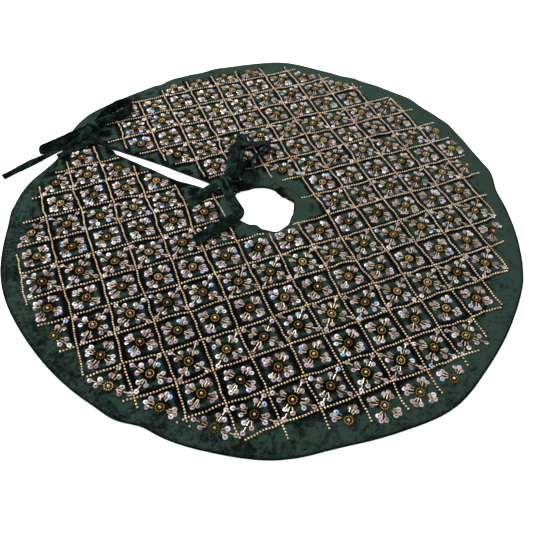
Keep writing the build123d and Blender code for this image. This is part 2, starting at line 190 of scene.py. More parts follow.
def mesh_piece(name, points, faces, material, smooth=True):
    mesh = bpy.data.meshes.new(name)
    mesh.from_pydata([tuple(p) for p in points], [], faces)
    mesh.materials.append(material)
    mesh.validate()
    if smooth:
        mesh.shade_smooth()
    piece = bpy.data.objects.new(name, mesh)
    bpy.context.scene.collection.objects.link(piece)
    return piece


def cloth_between(name, top, bottom, columns, rows, material):
    """A closed sheet of cloth from a grid of top points and one of bottom points."""
    points = top + bottom
    size = len(top)
    faces = []
    for i in range(columns):
        for j in range(rows):
            a = i * (rows + 1) + j
            b, c, d = a + rows + 1, a + rows + 2, a + 1
            faces.append((a, d, c, b))
            faces.append((a + size, b + size, c + size, d + size))
    rim = [i * (rows + 1) for i in range(columns + 1)]
    rim += [columns * (rows + 1) + j for j in range(1, rows + 1)]
    rim += [i * (rows + 1) + rows for i in range(columns - 1, -1, -1)]
    rim += [j for j in range(rows - 1, 0, -1)]
    for a, b in zip(rim, rim[1:] + rim[:1]):
        faces.append((a, b, b + size, a + size))
    return mesh_piece(name, points, faces, material)


# ---------------------------------------------------------------- lining
# A plain round of dark green polyester satin, cut as the velvet is and sewn to it along every
# edge. It lies on the floor and is seen only from below and inside the trunk hole's rim.

LINING_COLUMNS, LINING_ROWS = 240, 44
LINING_THICKNESS = 0.9 * MM
LINING_INSET = 4.2 * MM
LAYER_GAP = 0.2 * MM
VELVET_THICKNESS = 1.6 * MM

lining_satin, tree = new_material("polyester_satin_lining")
coords = add_node(tree, "ShaderNodeTexCoord").outputs["Object"]
weave = add_node(tree, "ShaderNodeTexWave", {"Scale": 210.0, "Distortion": 0.6, "Detail": 1.0},
                 {"Vector": coords})   # 1.5 mm ribs, coarser than the thread so that they show
cloudy = add_node(tree, "ShaderNodeTexNoise", {"Scale": 18.0, "Detail": 3.0}, {"Vector": coords})
bump = add_node(tree, "ShaderNodeBump", {"Strength": 0.25, "Distance": 0.0003},
                {"Height": weave.outputs["Fac"]})
shader = add_node(tree, "ShaderNodeBsdfPrincipled", {"Roughness": 0.5, "Sheen Weight": 0.2}, {
    "Base Color": ramp(tree, cloudy.outputs["Fac"], [(0.3, "#16251f"), (0.7, "#22352d")]),
    "Normal": bump.outputs["Normal"]})
add_node(tree, "ShaderNodeOutputMaterial", links={"Surface": shader.outputs["BSDF"]})


def inset_place(around, outward, inset):
    """A skirt place drawn in from every edge."""
    x, y = skirt_place(around, outward)
    radius = math.hypot(x, y)
    drawn = radius + inset * (1 - 2 * outward)
    azimuth = math.atan2(y, x) + (1 - 2 * around) * inset / radius
    return drawn * math.cos(azimuth), drawn * math.sin(azimuth)


def cloth_layer(name, columns, rows, inset, top_drop, thickness, material):
    top, bottom = [], []
    for i in range(columns + 1):
        for j in range(rows + 1):
            x, y = inset_place(i / columns, j / rows, inset)
            z = cloth_height(x, y) - top_drop
            top.append((x, y, z))
            bottom.append((x, y, z - thickness))
    return cloth_between(name, top, bottom, columns, rows, material)


lining = cloth_layer("lining_cloth", LINING_COLUMNS, LINING_ROWS, LINING_INSET,
                     VELVET_THICKNESS + LAYER_GAP, LINING_THICKNESS, lining_satin)
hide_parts("lining")
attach(lining, "skirt")


# ---------------------------------------------------------------- velvet top
# One round of crushed polyester velvet, dark bottle green. Crushing lays the pile in patches,
# which gives it its light and near-black flecks; the short pile greys towards grazing light.

VELVET_COLUMNS, VELVET_ROWS = 460, 94
VELVET_INSET = 2.2 * MM
PILE_SCALE = 520.0             # 2 mm tufts, coarser than the real pile so that they show
PAINTED_LIGHT_SIDE = Vector((0.09, 0.05, 0))   # painted light: the colour lightens steadily towards this side of the skirt


def calc(tree, operation, *values):
    """One arithmetic step between sockets and numbers."""
    made = add_node(tree, "ShaderNodeMath", {"operation": operation})
    for i, value in enumerate(values):
        if isinstance(value, (int, float)):
            made.inputs[i].default_value = value
        else:
            tree.links.new(value, made.inputs[i])
    return made.outputs[0]


def eased(tree, value, start, end):
    return add_node(tree, "ShaderNodeMapRange", {
        "interpolation_type": "SMOOTHSTEP", "From Min": start, "From Max": end},
        {"Value": value}).outputs[0]


def open_lit_pile(tree, coords):
    """1 where the pile stands open and takes the light, 0 where it is darkened: beside the trellis's
    strands and round each rosette, partly pile pulled flat by the sewing and partly painted shade
    from the beads, and in a painted shadow under the raised fold at the trunk hole's rim."""
    across, down = math.radians(14.07), math.radians(-75.13)
    cell_across, cell_down = 0.0777, 0.0730
    corner = Vector((-0.3829, -0.1846, 0))
    spread = math.sin(down - across)
    off_line = []
    for way_x, way_y, size in ((math.sin(down), -math.cos(down), cell_across),
                               (-math.sin(across), math.cos(across), cell_down)):
        axis = Vector((way_x, way_y, 0)) / (spread * size)
        cells = add_node(tree, "ShaderNodeVectorMath", {"operation": "DOT_PRODUCT", 1: axis},
                         {0: coords}).outputs["Value"]
        off_line.append(calc(tree, "PINGPONG", calc(tree, "SUBTRACT", cells, corner.dot(axis)), 0.5))
    # Darker beside the strands and round each rosette: partly pile pulled flat by the sewing, partly painted shade
    # from the beads.
    beside = eased(tree, calc(tree, "MINIMUM", *off_line), 0.03, 0.20)
    from_middle = [calc(tree, "POWER", calc(tree, "SUBTRACT", 0.5, off), 2.0) for off in off_line]
    ringed = eased(tree, calc(tree, "SQRT", calc(tree, "ADD", *from_middle)), 0.10, 0.30)
    reach = add_node(tree, "ShaderNodeVectorMath", {"operation": "LENGTH"}, {0: coords})
    border = eased(tree, reach.outputs["Value"], 0.530, 0.565)
    rim = calc(tree, "SUBTRACT", 1.0, eased(tree, reach.outputs["Value"], 0.100, 0.130))
    # Painted shadow: a dark spot in the pile under the raised fold at the trunk hole's rim.
    from_fold_shadow = add_node(tree, "ShaderNodeVectorMath", {"operation": "DISTANCE", 1: (0.046, 0.028, 0.0)},
                      {0: coords}).outputs["Value"]
    rim = calc(tree, "MULTIPLY", rim, eased(tree, from_fold_shadow, 0.016, 0.030))
    return calc(tree, "MAXIMUM", calc(tree, "MULTIPLY", beside, ringed),
                calc(tree, "MAXIMUM", border, rim))


def velvet_material(name, darkest, mid, light, crush_scale, crush_contrast, sheen, press_and_shade=0.0):
    """Its last argument is how much the pile beside the beadwork is darkened: partly pile pressed
    flat by the stitches, partly painted shade from the beads. A piece's own attribute "fold" paints
    a highlight on the crests of its folds and painted shade in the hollows."""
    material, tree = new_material(name)
    coords = add_node(tree, "ShaderNodeTexCoord").outputs["Object"]
    patches = add_node(tree, "ShaderNodeTexNoise", {
        "Scale": crush_scale, "Detail": 5.0, "Roughness": 0.62, "Distortion": 0.9},
        {"Vector": coords}).outputs["Fac"]
    flecks = add_node(tree, "ShaderNodeTexNoise", {
        "Scale": crush_scale * 5.5, "Detail": 4.0, "Roughness": 0.7, "Distortion": 0.4},
        {"Vector": coords}).outputs["Fac"]
    pile = add_node(tree, "ShaderNodeTexNoise", {"Scale": PILE_SCALE, "Detail": 2.0},
                    {"Vector": coords}).outputs["Fac"]
    mixed = add_node(tree, "ShaderNodeMath", {"operation": "MULTIPLY_ADD", 1: 0.55},
                     {0: flecks, 2: add_node(tree, "ShaderNodeMath", {
                         "operation": "MULTIPLY", 1: 0.45}, {0: patches}).outputs[0]}).outputs[0]
    shade = mixed
    if press_and_shade:
        # Painted light: the colour lightens steadily towards one side of the skirt.
        side_light = add_node(tree, "ShaderNodeVectorMath", {"operation": "DOT_PRODUCT", 1: PAINTED_LIGHT_SIDE},
                       {0: coords}).outputs["Value"]
        # Beside the beadwork the pile is darkened: partly pressed flat, partly painted shade.
        lift = calc(tree, "MULTIPLY_ADD", open_lit_pile(tree, coords), press_and_shade, -0.55 * press_and_shade)
        shade = calc(tree, "ADD", calc(tree, "ADD", mixed, lift), side_light)
    # Painted highlight and shade: the "fold" attribute lightens fold crests and darkens hollows.
    shade = calc(tree, "ADD", shade, add_node(tree, "ShaderNodeAttribute",
                                              {"attribute_name": "fold"}).outputs["Fac"])
    low, high = 0.5 - crush_contrast, 0.5 + crush_contrast
    colour = ramp(tree, shade, [(low, darkest), (0.5, mid), (high, light)])
    height = add_node(tree, "ShaderNodeMath", {"operation": "MULTIPLY_ADD", 1: 0.35},
                      {0: pile, 2: mixed}).outputs[0]
    bump = add_node(tree, "ShaderNodeBump", {"Strength": 0.55, "Distance": 0.0022},
                    {"Height": height})
    shader = add_node(tree, "ShaderNodeBsdfPrincipled", {
        "Roughness": 0.95, "Specular IOR Level": 0.05, "Sheen Weight": sheen,
        "Sheen Roughness": 0.38, "Sheen Tint": linear("#7f9c8c")},
        {"Base Color": colour, "Normal": bump.outputs["Normal"]})
    add_node(tree, "ShaderNodeOutputMaterial", links={"Surface": shader.outputs["BSDF"]})
    return material


crushed_velvet = velvet_material("crushed_velvet_bottle_green",
                                 "#010202", "#0f1a16", "#2b3d35", 26.0, 0.12, 0.08, 0.24)
velvet = cloth_layer("velvet_face", VELVET_COLUMNS, VELVET_ROWS, VELVET_INSET,
                     0.0, VELVET_THICKNESS, crushed_velvet)
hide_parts("velvet_top")
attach(velvet, "skirt")


# ---------------------------------------------------------------- turned edges
# The two layers are sewn face to face, turned and pressed, so every edge ends in a narrow
# rounded roll of velvet: round the hem, round the trunk hole, and down each side of the slit.

ROLL_WIDTH, ROLL_HEIGHT = 5.0 * MM, 3.3 * MM
ROLL_SIDES = 10


def sweep(name, path, section, material):
    """Sweeps a section over a path. section(i) gives the points of the section's outline at
    path point i, as (aside, up); aside is to the left of the path's direction."""
    count = len(path)
    points, faces = [], []
    for i, (x, y, z) in enumerate(path):
        before, after = path[max(i - 1, 0)], path[min(i + 1, count - 1)]
        ahead = Vector((after[0] - before[0], after[1] - before[1], 0)).normalized()
        left = Vector((-ahead.y, ahead.x, 0))
        for aside, up in section(i):
            points.append((x + left.x * aside, y + left.y * aside, z + up))
    sides = len(section(0))
    for i in range(count - 1):
        for k in range(sides):
            a, b = i * sides + k, i * sides + (k + 1) % sides
            faces.append((a, b, b + sides, a + sides))
    faces.append(tuple(range(sides - 1, -1, -1)))
    faces.append(tuple((count - 1) * sides + k for k in range(sides)))
    piece = mesh_piece(name, points, faces, material)
    turn_outwards(piece)
    return piece


def turn_outwards(piece):
    import bmesh
    work = bmesh.new()
    work.from_mesh(piece.data)
    bmesh.ops.recalc_face_normals(work, faces=work.faces)
    work.to_mesh(piece.data)
    work.free()


def rolled_edge(name, places, inset_side, material, shadow_hang=0.0):
    """A roll of velvet along an edge; inset_side is +1 if the cloth is left of the path. The last
    argument is the share of the way to the floor that the roll's lower half is drawn down where
    the edge is raised: a dark wall of velvet standing in for the shade under a raised edge."""
    path = [(x, y, cloth_height(x, y) - PRESSED_HEIGHT) for x, y in places]

    def section(i):
        puff = 1 + 0.10 * noise.noise(Vector((places[i][0] * 60, places[i][1] * 60, 5.5)))
        outline = []
        for k in range(ROLL_SIDES):
            turn = 2 * math.pi * k / ROLL_SIDES
            aside = ROLL_WIDTH / 2 * (1 + math.cos(turn) * puff)
            up = ROLL_HEIGHT / 2 * (1 + math.sin(turn) * puff) + 0.1 * MM
            # Painted shade: the lower half reaches down towards the floor, a dark wall in place of the shadow under
            # a raised edge.
            shadow_droop = shadow_hang * path[i][2] if math.sin(turn) < 0 else 0.0
            outline.append((inset_side * aside, up - shadow_droop))
        return outline

    return sweep(name, path, section, material)


def place_row(around_from, around_to, outward_from, outward_to, count):
    return [skirt_place(around_from + (around_to - around_from) * i / count,
                        outward_from + (outward_to - outward_from) * i / count)
            for i in range(count + 1)]


# The rolls' velvet is a darker copy of the face velvet: painted shade on the edges' sides.
shaded_edge_velvet = velvet_material("crushed_velvet_turned_edge_shaded",
                              "#020504", "#0b1411", "#1d2c26", 60.0, 0.16, 0.2)
hem_roll = rolled_edge("hem_edge_roll", place_row(0, 1, 1, 1, 900), 1, shaded_edge_velvet)
# The hole's roll reaches all the way to the floor where the rim is raised: a dark wall standing in for the shade
# under the raised rim.
hole_roll = rolled_edge("hole_edge_roll", place_row(0, 1, 0, 0, 200), -1, shaded_edge_velvet, 1.0)
lower_roll = rolled_edge("slit_edge_lower_roll", place_row(0, 0, 0, 1, 160), 1, shaded_edge_velvet)
upper_roll = rolled_edge("slit_edge_upper_roll", place_row(1, 1, 0, 1, 160), -1, shaded_edge_velvet)
for roll, node in ((hem_roll, "hem_edge"), (hole_roll, "hole_edge"),
                   (lower_roll, "slit_edge_lower"), (upper_roll, "slit_edge_upper")):
    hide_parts(node)
    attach(roll, "skirt")


# ---------------------------------------------------------------- topstitching
# One line of dark green polyester thread, six millimetres inside the hem, holds the two layers
# flat. The machine's stitches are short raised dashes that sink into the pile.

STITCH_INSET = 8.5 * MM
STITCH_LENGTH, STITCH_GAP, STITCH_RADIUS = 3.2 * MM, 1.0 * MM, 0.42 * MM


def geometry_tree(name, inputs):
    tree = bpy.data.node_groups.new(name, "GeometryNodeTree")
    for label, kind in [("Geometry", "Geometry"), *inputs]:
        tree.interface.new_socket(label, in_out="INPUT", socket_type=f"NodeSocket{kind}")
    tree.interface.new_socket("Geometry", in_out="OUTPUT", socket_type="NodeSocketGeometry")
    return tree, tree.nodes.new("NodeGroupInput").outputs


def finish_tree(tree, given, instances, shade_smooth=True):
    """Ends a tree in real geometry with its material, and a random tone for each instance."""
    tone = add_node(tree, "FunctionNodeRandomValue", {"data_type": "FLOAT"}, {"Seed": given["Seed"]})
    toned = add_node(tree, "GeometryNodeStoreNamedAttribute", {
        "data_type": "FLOAT", "domain": "INSTANCE", "Name": "tone"}, {
        "Geometry": instances, "Value": tone.outputs[1]})
    real = add_node(tree, "GeometryNodeRealizeInstances", links={"Geometry": toned.outputs[0]})
    smooth = add_node(tree, "GeometryNodeSetShadeSmooth", {"Shade Smooth": shade_smooth},
                      {"Geometry": real.outputs[0]})
    dressed = add_node(tree, "GeometryNodeSetMaterial", links={
        "Geometry": smooth.outputs[0], "Material": given["Material"]})
    add_node(tree, "NodeGroupOutput", links={"Geometry": dressed.outputs[0]})


def lines_object(name, lines):
    """Runs of points as a mesh of loose edges, for a tree to follow."""
    points, edges = [], []
    for line in lines:
        edges += [(len(points) + k, len(points) + k + 1) for k in range(len(line) - 1)]
        points += [tuple(p) for p in line]
    mesh = bpy.data.meshes.new(name + "_lines")
    mesh.from_pydata(points, edges, [])
    source = bpy.data.objects.new(name + "_lines", mesh)
    bpy.context.scene.collection.objects.link(source)
    return source


def sewn_on(name, source, tree, values, cad_nodes):
    """Runs a tree on its source, keeps the result as a plain mesh on the skirt."""
    modifier = source.modifiers.new(name, "NODES")
    modifier.node_group = tree
    for item in tree.interface.items_tree:
        if item.in_out == "INPUT" and item.name in values:
            modifier[item.identifier] = values[item.name]
    graph = bpy.context.evaluated_depsgraph_get()
    mesh = bpy.data.meshes.new_from_object(source.evaluated_get(graph))
    mesh.name = name
    bpy.data.objects.remove(source)
    piece = bpy.data.objects.new(name, mesh)
    bpy.context.scene.collection.objects.link(piece)
    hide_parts(*cad_nodes)
    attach(piece, "skirt")
    return piece


thread, tree = new_material("polyester_thread_dark_green")
coords = add_node(tree, "ShaderNodeTexCoord").outputs["Object"]
twist = add_node(tree, "ShaderNodeTexNoise", {"Scale": 900.0}, {"Vector": coords})
shader = add_node(tree, "ShaderNodeBsdfPrincipled", {"Roughness": 0.6}, {
    "Base Color": ramp(tree, twist.outputs["Fac"], [(0.3, "#0c1612"), (0.7, "#22322b")])})
add_node(tree, "ShaderNodeOutputMaterial", links={"Surface": shader.outputs["BSDF"]})

tree, given = geometry_tree("machine_stitches", [
    ("Stitch Pitch", "Float"), ("Stitch Length", "Float"), ("Stitch Radius", "Float"),
    ("Seed", "Int"), ("Material", "Material")])
curve = add_node(tree, "GeometryNodeMeshToCurve", links={"Mesh": given["Geometry"]})
steps = add_node(tree, "GeometryNodeResampleCurve", {"mode": "LENGTH"}, {
    "Curve": curve.outputs[0], "Length": given["Stitch Pitch"]})
dash = add_node(tree, "GeometryNodeMeshCylinder", {"Vertices": 6}, {
    "Radius": given["Stitch Radius"], "Depth": given["Stitch Length"]})
tangent = add_node(tree, "GeometryNodeInputTangent")
along = add_node(tree, "FunctionNodeAlignRotationToVector", {"axis": "Z"}, {
    "Vector": tangent.outputs[0]})
placed = add_node(tree, "GeometryNodeInstanceOnPoints", links={
    "Points": steps.outputs[0], "Instance": dash.outputs["Mesh"],
    "Rotation": along.outputs[0]})
finish_tree(tree, given, placed.outputs[0])

stitch_line = []
for i in range(1201):
    x, y = inset_place(0.001 + 0.998 * i / 1200, 1, STITCH_INSET)
    stitch_line.append((x, y, cloth_height(x, y) + 0.15 * MM))
stitching = sewn_on("hem_topstitching", lines_object("hem_topstitching", [stitch_line]), tree, {
    "Stitch Pitch": STITCH_LENGTH + STITCH_GAP, "Stitch Length": STITCH_LENGTH,
    "Stitch Radius": STITCH_RADIUS, "Seed": 3, "Material": thread},
    ["hem_stitching"])


# ---------------------------------------------------------------- trellis of bead strands
# Round gold-plated glass beads, sewn one after another along two sets of lines. The lines were
# drawn by hand, so they wander by two or three millimetres, and no two beads sit quite alike.

CELL_ACROSS, CELL_DOWN = 77.7 * MM, 73.0 * MM
ACROSS_AZIMUTH, DOWN_AZIMUTH = math.radians(14.07), math.radians(-75.13)
TRELLIS_CORNER = (-382.9 * MM, -184.6 * MM)
CELLS_ACROSS, CELLS_DOWN = range(-3, 14), range(-10, 9)
PLAIN_BORDER, MOTIF_BORDER, HOLE_BORDER, SLIT_BORDER = 34 * MM, 23 * MM, 20 * MM, 14 * MM
TRUNK_HOLE_RADIUS = 74.0 * MM
BARE_SPOTS = [(-425, 322, 22.4), (-95, 75, 22.4), (-408, 284, 15), (-393, 264, 9),
              (-436, 270, 16), (-444, 286, 14), (-458, 301, 20), (-366, 376, 14)]
BARE_CELLS = [(3, 6), (10, 4), (11, -6), (12, -4), (-2, -4)]
BEAD_RADIUS, BEAD_PITCH = 2.3 * MM, 6.0 * MM
LINE_STEPS = 24
SHORTEST_RUN = 3


def on_beaded_ground(x, y, clear=0.0, hem_border=PLAIN_BORDER):
    """Is this place inside the beaded part of the velvet, with room to spare?"""
    radius = math.hypot(x, y)
    if radius > hem_radius(math.degrees(math.atan2(y, x))) - hem_border - clear:
        return False
    if radius < TRUNK_HOLE_RADIUS + HOLE_BORDER + clear:
        return False
    slit = math.radians(SLIT_AZIMUTH)
    along = x * math.cos(slit) + y * math.sin(slit)
    across = y * math.cos(slit) - x * math.sin(slit)
    border = SLIT_BORDER + clear
    if along > 0 and (edge_across(UPPER_EDGE, along) - border < across
                      < edge_across(LOWER_EDGE, along) + border):
        return False
    return all(math.hypot(x - MM * spot_x, y - MM * spot_y) > MM * bare + clear
               for spot_x, spot_y, bare in BARE_SPOTS)


def trellis(across, down):
    """X and Y of a place counted in cells from the trellis's corner."""
    x = (TRELLIS_CORNER[0] + across * CELL_ACROSS * math.cos(ACROSS_AZIMUTH)
         + down * CELL_DOWN * math.cos(DOWN_AZIMUTH))
    y = (TRELLIS_CORNER[1] + across * CELL_ACROSS * math.sin(ACROSS_AZIMUTH)
         + down * CELL_DOWN * math.sin(DOWN_AZIMUTH))
    return x, y


noise.seed_set(7)              # without it, noise_vector differs from run to run


def wandered(x, y):
    """A trellis place as the hand drew it."""
    slow, quick = Vector((x * 15, y * 15, 1.7)), Vector((x * 48, y * 48, 6.1))
    shift = 4.8 * MM * noise.noise_vector(slow) + 2.7 * MM * noise.noise_vector(quick)
    return x + shift.x, y + shift.y


def strand_lines(step_across, step_down):
    lines = []
    margin = BEAD_PITCH / (CELL_ACROSS if step_across else CELL_DOWN)
    for across in CELLS_ACROSS:
        for down in CELLS_DOWN:
            run = []
            for step in range(LINE_STEPS + 1):
                share = margin + (1 - 2 * margin) * step / LINE_STEPS
                place = trellis(across + share * step_across, down + share * step_down)
                if on_beaded_ground(*place):
                    x, y = wandered(*place)
                    run.append((x, y, cloth_height(x, y) + 0.9 * BEAD_RADIUS))
                elif len(run) < SHORTEST_RUN:
                    run = []
                else:
                    break
            if len(run) >= SHORTEST_RUN:
                lines.append(run)
    return lines


gold_beads, tree = new_material("gold_plated_glass_beads")
tone = add_node(tree, "ShaderNodeAttribute", {"attribute_name": "tone"}).outputs["Fac"]
coords = add_node(tree, "ShaderNodeTexCoord").outputs["Object"]
rub = add_node(tree, "ShaderNodeTexNoise", {"Scale": 700.0, "Detail": 2.0}, {"Vector": coords})
rough = add_node(tree, "ShaderNodeMath", {"operation": "MULTIPLY_ADD", 1: 0.25, 2: 0.22},
                 {0: rub.outputs["Fac"]})
shader = add_node(tree, "ShaderNodeBsdfPrincipled", {"Metallic": 0.6}, {
    "Base Color": ramp(tree, tone, [(0.0, "#cba97c"), (0.5, "#e2c79c"), (1.0, "#f5e4c2")]),
    "Roughness": rough.outputs[0]})
add_node(tree, "ShaderNodeOutputMaterial", links={"Surface": shader.outputs["BSDF"]})

strand_tree, given = geometry_tree("bead_strand", [
    ("Bead Radius", "Float"), ("Bead Pitch", "Float"), ("Smallest", "Vector"),
    ("Largest", "Vector"), ("Seed", "Int"), ("Material", "Material")])
curve = add_node(strand_tree, "GeometryNodeMeshToCurve", links={"Mesh": given["Geometry"]})
steps = add_node(strand_tree, "GeometryNodeResampleCurve", {"mode": "LENGTH"}, {
    "Curve": curve.outputs[0], "Length": given["Bead Pitch"]})
bead = add_node(strand_tree, "GeometryNodeMeshIcoSphere", {"Subdivisions": 2}, {
    "Radius": given["Bead Radius"]})
size = add_node(strand_tree, "FunctionNodeRandomValue", {"data_type": "FLOAT_VECTOR"}, {
    "Min": given["Smallest"], "Max": given["Largest"], "Seed": given["Seed"]})
placed = add_node(strand_tree, "GeometryNodeInstanceOnPoints", links={
    "Points": steps.outputs[0], "Instance": bead.outputs["Mesh"], "Scale": size.outputs[0]})
finish_tree(strand_tree, given, placed.outputs[0])

for name, steps, seed in (("bead_strands_across", (1, 0), 11), ("bead_strands_down", (0, 1), 12)):
    sewn_on(name + "_sewn", lines_object(name, strand_lines(*steps)), strand_tree, {
        "Bead Radius": BEAD_RADIUS, "Bead Pitch": BEAD_PITCH, "Smallest": (0.88, 0.88, 0.85),
        "Largest": (1.08, 1.08, 1.05), "Seed": seed, "Material": gold_beads},
        [name])


# ---------------------------------------------------------------- crossing beads
# One more of the same beads where two strands cross, sewn on last.

def points_object(name, spots):
    """Places with a turn (a rotation) and a size for each, as loose vertices for a tree."""
    mesh = bpy.data.meshes.new(name + "_places")
    mesh.from_pydata([tuple(place) for place, turn, size in spots], [], [])
    turns = mesh.attributes.new("turn", "FLOAT_VECTOR", "POINT")
    sizes = mesh.attributes.new("size", "FLOAT_VECTOR", "POINT")
    for i, (place, turn, size) in enumerate(spots):
        turns.data[i].vector = turn
        sizes.data[i].vector = size
    source = bpy.data.objects.new(name + "_places", mesh)
    bpy.context.scene.collection.objects.link(source)
    return source


def place_on_points(tree, given, shape):
    """Instances a shape on each place, turned and sized as the place says."""
    dots = add_node(tree, "GeometryNodeMeshToPoints", links={"Mesh": given["Geometry"]})
    turn = add_node(tree, "GeometryNodeInputNamedAttribute", {
        "data_type": "FLOAT_VECTOR", "Name": "turn"})
    size = add_node(tree, "GeometryNodeInputNamedAttribute", {
        "data_type": "FLOAT_VECTOR", "Name": "size"})
    rotation = add_node(tree, "FunctionNodeEulerToRotation", links={"Euler": turn.outputs[0]})
    return add_node(tree, "GeometryNodeInstanceOnPoints", links={
        "Points": dots.outputs[0], "Instance": shape, "Rotation": rotation.outputs[0],
        "Scale": size.outputs[0]}).outputs[0]


crossing_tree, given = geometry_tree("single_beads", [
    ("Bead Radius", "Float"), ("Seed", "Int"), ("Material", "Material")])
bead = add_node(crossing_tree, "GeometryNodeMeshIcoSphere", {"Subdivisions": 2}, {
    "Radius": given["Bead Radius"]})
finish_tree(crossing_tree, given, place_on_points(crossing_tree, given, bead.outputs["Mesh"]))

crossings = []
for across in CELLS_ACROSS:
    for down in CELLS_DOWN:
        place = trellis(across, down)
        if on_beaded_ground(*place, BEAD_RADIUS):
            x, y = wandered(*place)
            crossings.append(((x, y, cloth_height(x, y) + BEAD_RADIUS), (0, 0, 0), (1.05,) * 3))
sewn_on("crossing_beads_sewn", points_object("crossing_beads", crossings), crossing_tree,
        {"Bead Radius": BEAD_RADIUS, "Seed": 13, "Material": gold_beads},
        ["crossing_beads"])


# ---------------------------------------------------------------- rosettes
# In the middle of each cell, a ring of twelve small antique-gold beads round a brown domed
# bead, with a cream-gold rice bead sewn on top.

ROSETTE_RADIUS, RING_BEAD_RADIUS, RING_BEADS = 7.7 * MM, 1.85 * MM, 12
DOME_RADIUS, DOME_FLATNESS = 3.5 * MM, 0.3
RICE_BEAD = (3.0 * MM, 2.6 * MM, 2.0 * MM)


def motif_cells():
    """Every cell with a rosette, and the place of its middle."""
    for across in CELLS_ACROSS:
        for down in CELLS_DOWN:
            middle = trellis(across + 0.5, down + 0.5)
            if (across, down) not in BARE_CELLS and on_beaded_ground(*middle, 10.5 * MM, MOTIF_BORDER):
                yield across, down, middle


def seated(x, y, lift, spin, lean=(0.0, 0.0)):
    """A place on the cloth and the turn that stands a piece square on it, spun and leaned."""
    normal = cloth_normal(x, y)
    up = normal.to_track_quat("Z", "Y").to_matrix()
    turn = Matrix.Rotation(spin, 3, "Z") @ Matrix.Rotation(lean[0], 3, "X") @ Matrix.Rotation(
        lean[1], 3, "Y")
    yaw = Matrix.Rotation(-up.to_euler().z, 3, "Z")
    foot = Vector((x, y, cloth_height(x, y)))
    return foot + normal * lift, tuple((up @ yaw @ turn).to_euler())


def bead_material(name, tones, metallic, roughness):
    material, tree = new_material(name)
    tone = add_node(tree, "ShaderNodeAttribute", {"attribute_name": "tone"}).outputs["Fac"]
    coords = add_node(tree, "ShaderNodeTexCoord").outputs["Object"]
    worn = add_node(tree, "ShaderNodeTexNoise", {"Scale": 420.0, "Detail": 3.0},
                    {"Vector": coords}).outputs["Fac"]
    mixed = add_node(tree, "ShaderNodeMath", {"operation": "MULTIPLY_ADD", 1: 0.5},
                     {0: worn, 2: add_node(tree, "ShaderNodeMath", {
                         "operation": "MULTIPLY", 1: 0.5}, {0: tone}).outputs[0]}).outputs[0]
    rough = add_node(tree, "ShaderNodeMath", {
        "operation": "MULTIPLY_ADD", 1: 0.2, 2: roughness - 0.1}, {0: worn})
    shader = add_node(tree, "ShaderNodeBsdfPrincipled", {"Metallic": metallic}, {
        "Base Color": ramp(tree, mixed, tones), "Roughness": rough.outputs[0]})
    add_node(tree, "ShaderNodeOutputMaterial", links={"Surface": shader.outputs["BSDF"]})
    return material


antique_gold = bead_material("antique_gold_plated_beads",
                             [(0.2, "#4d3616"), (0.5, "#8f6c34"), (0.85, "#d6b473")], 0.75, 0.32)
cream_gold = bead_material("cream_gold_pearl_rice_beads",
                           [(0.2, "#b3935f"), (0.5, "#d6b985"), (0.85, "#f3e4c4")], 0.5, 0.28)

ring_tree, given = geometry_tree("rosette_ring", [
    ("Ring Radius", "Float"), ("Bead Radius", "Float"), ("Beads", "Int"), ("Dome Radius", "Float"),
    ("Dome Scale", "Vector"), ("Seed", "Int"), ("Material", "Material")])
ring = add_node(ring_tree, "GeometryNodeCurvePrimitiveCircle", links={
    "Resolution": given["Beads"], "Radius": given["Ring Radius"]})
bead = add_node(ring_tree, "GeometryNodeMeshIcoSphere", {"Subdivisions": 2}, {
    "Radius": given["Bead Radius"]})
ringed = add_node(ring_tree, "GeometryNodeInstanceOnPoints", links={
    "Points": ring.outputs[0], "Instance": bead.outputs["Mesh"]})
ball = add_node(ring_tree, "GeometryNodeMeshIcoSphere", {"Subdivisions": 2}, {
    "Radius": given["Dome Radius"]})
dome = add_node(ring_tree, "GeometryNodeTransform", links={
    "Geometry": ball.outputs["Mesh"], "Scale": given["Dome Scale"]})
whole = add_node(ring_tree, "GeometryNodeJoinGeometry", links={"Geometry": ringed.outputs[0]})
ring_tree.links.new(dome.outputs[0], whole.inputs[0])
solid_ring = add_node(ring_tree, "GeometryNodeRealizeInstances", links={
    "Geometry": whole.outputs[0]})
finish_tree(ring_tree, given, place_on_points(ring_tree, given, solid_ring.outputs[0]))

chance = random.Random(41)
rings, centres = [], []
for across, down, (x, y) in motif_cells():
    x, y = x + chance.uniform(-1.5, 1.5) * MM, y + chance.uniform(-1.5, 1.5) * MM
    lean = (chance.uniform(-0.1, 0.1), chance.uniform(-0.1, 0.1))
    place, turn = seated(x, y, 1.7 * MM, chance.uniform(0, math.pi), lean)
    rings.append((place, turn, (chance.uniform(0.94, 1.06), chance.uniform(0.94, 1.06), 0.95)))
    place, turn = seated(x, y, 4.0 * MM, chance.uniform(-0.6, 0.6), lean)
    centres.append((place, turn, (RICE_BEAD[0] / RICE_BEAD[1], 1, RICE_BEAD[2] / RICE_BEAD[1])))
sewn_on("rosette_rings_sewn", points_object("rosette_rings", rings), ring_tree, {
    "Ring Radius": ROSETTE_RADIUS, "Bead Radius": RING_BEAD_RADIUS, "Beads": RING_BEADS,
    "Dome Radius": DOME_RADIUS, "Dome Scale": (1.0, 1.0, DOME_FLATNESS),
    "Seed": 21, "Material": antique_gold}, ["rosette_rings"])
sewn_on("rosette_centres_sewn", points_object("rosette_centres", centres), crossing_tree, {
    "Bead Radius": RICE_BEAD[1], "Seed": 22, "Material": cream_gold},
    ["rosette_centres"])


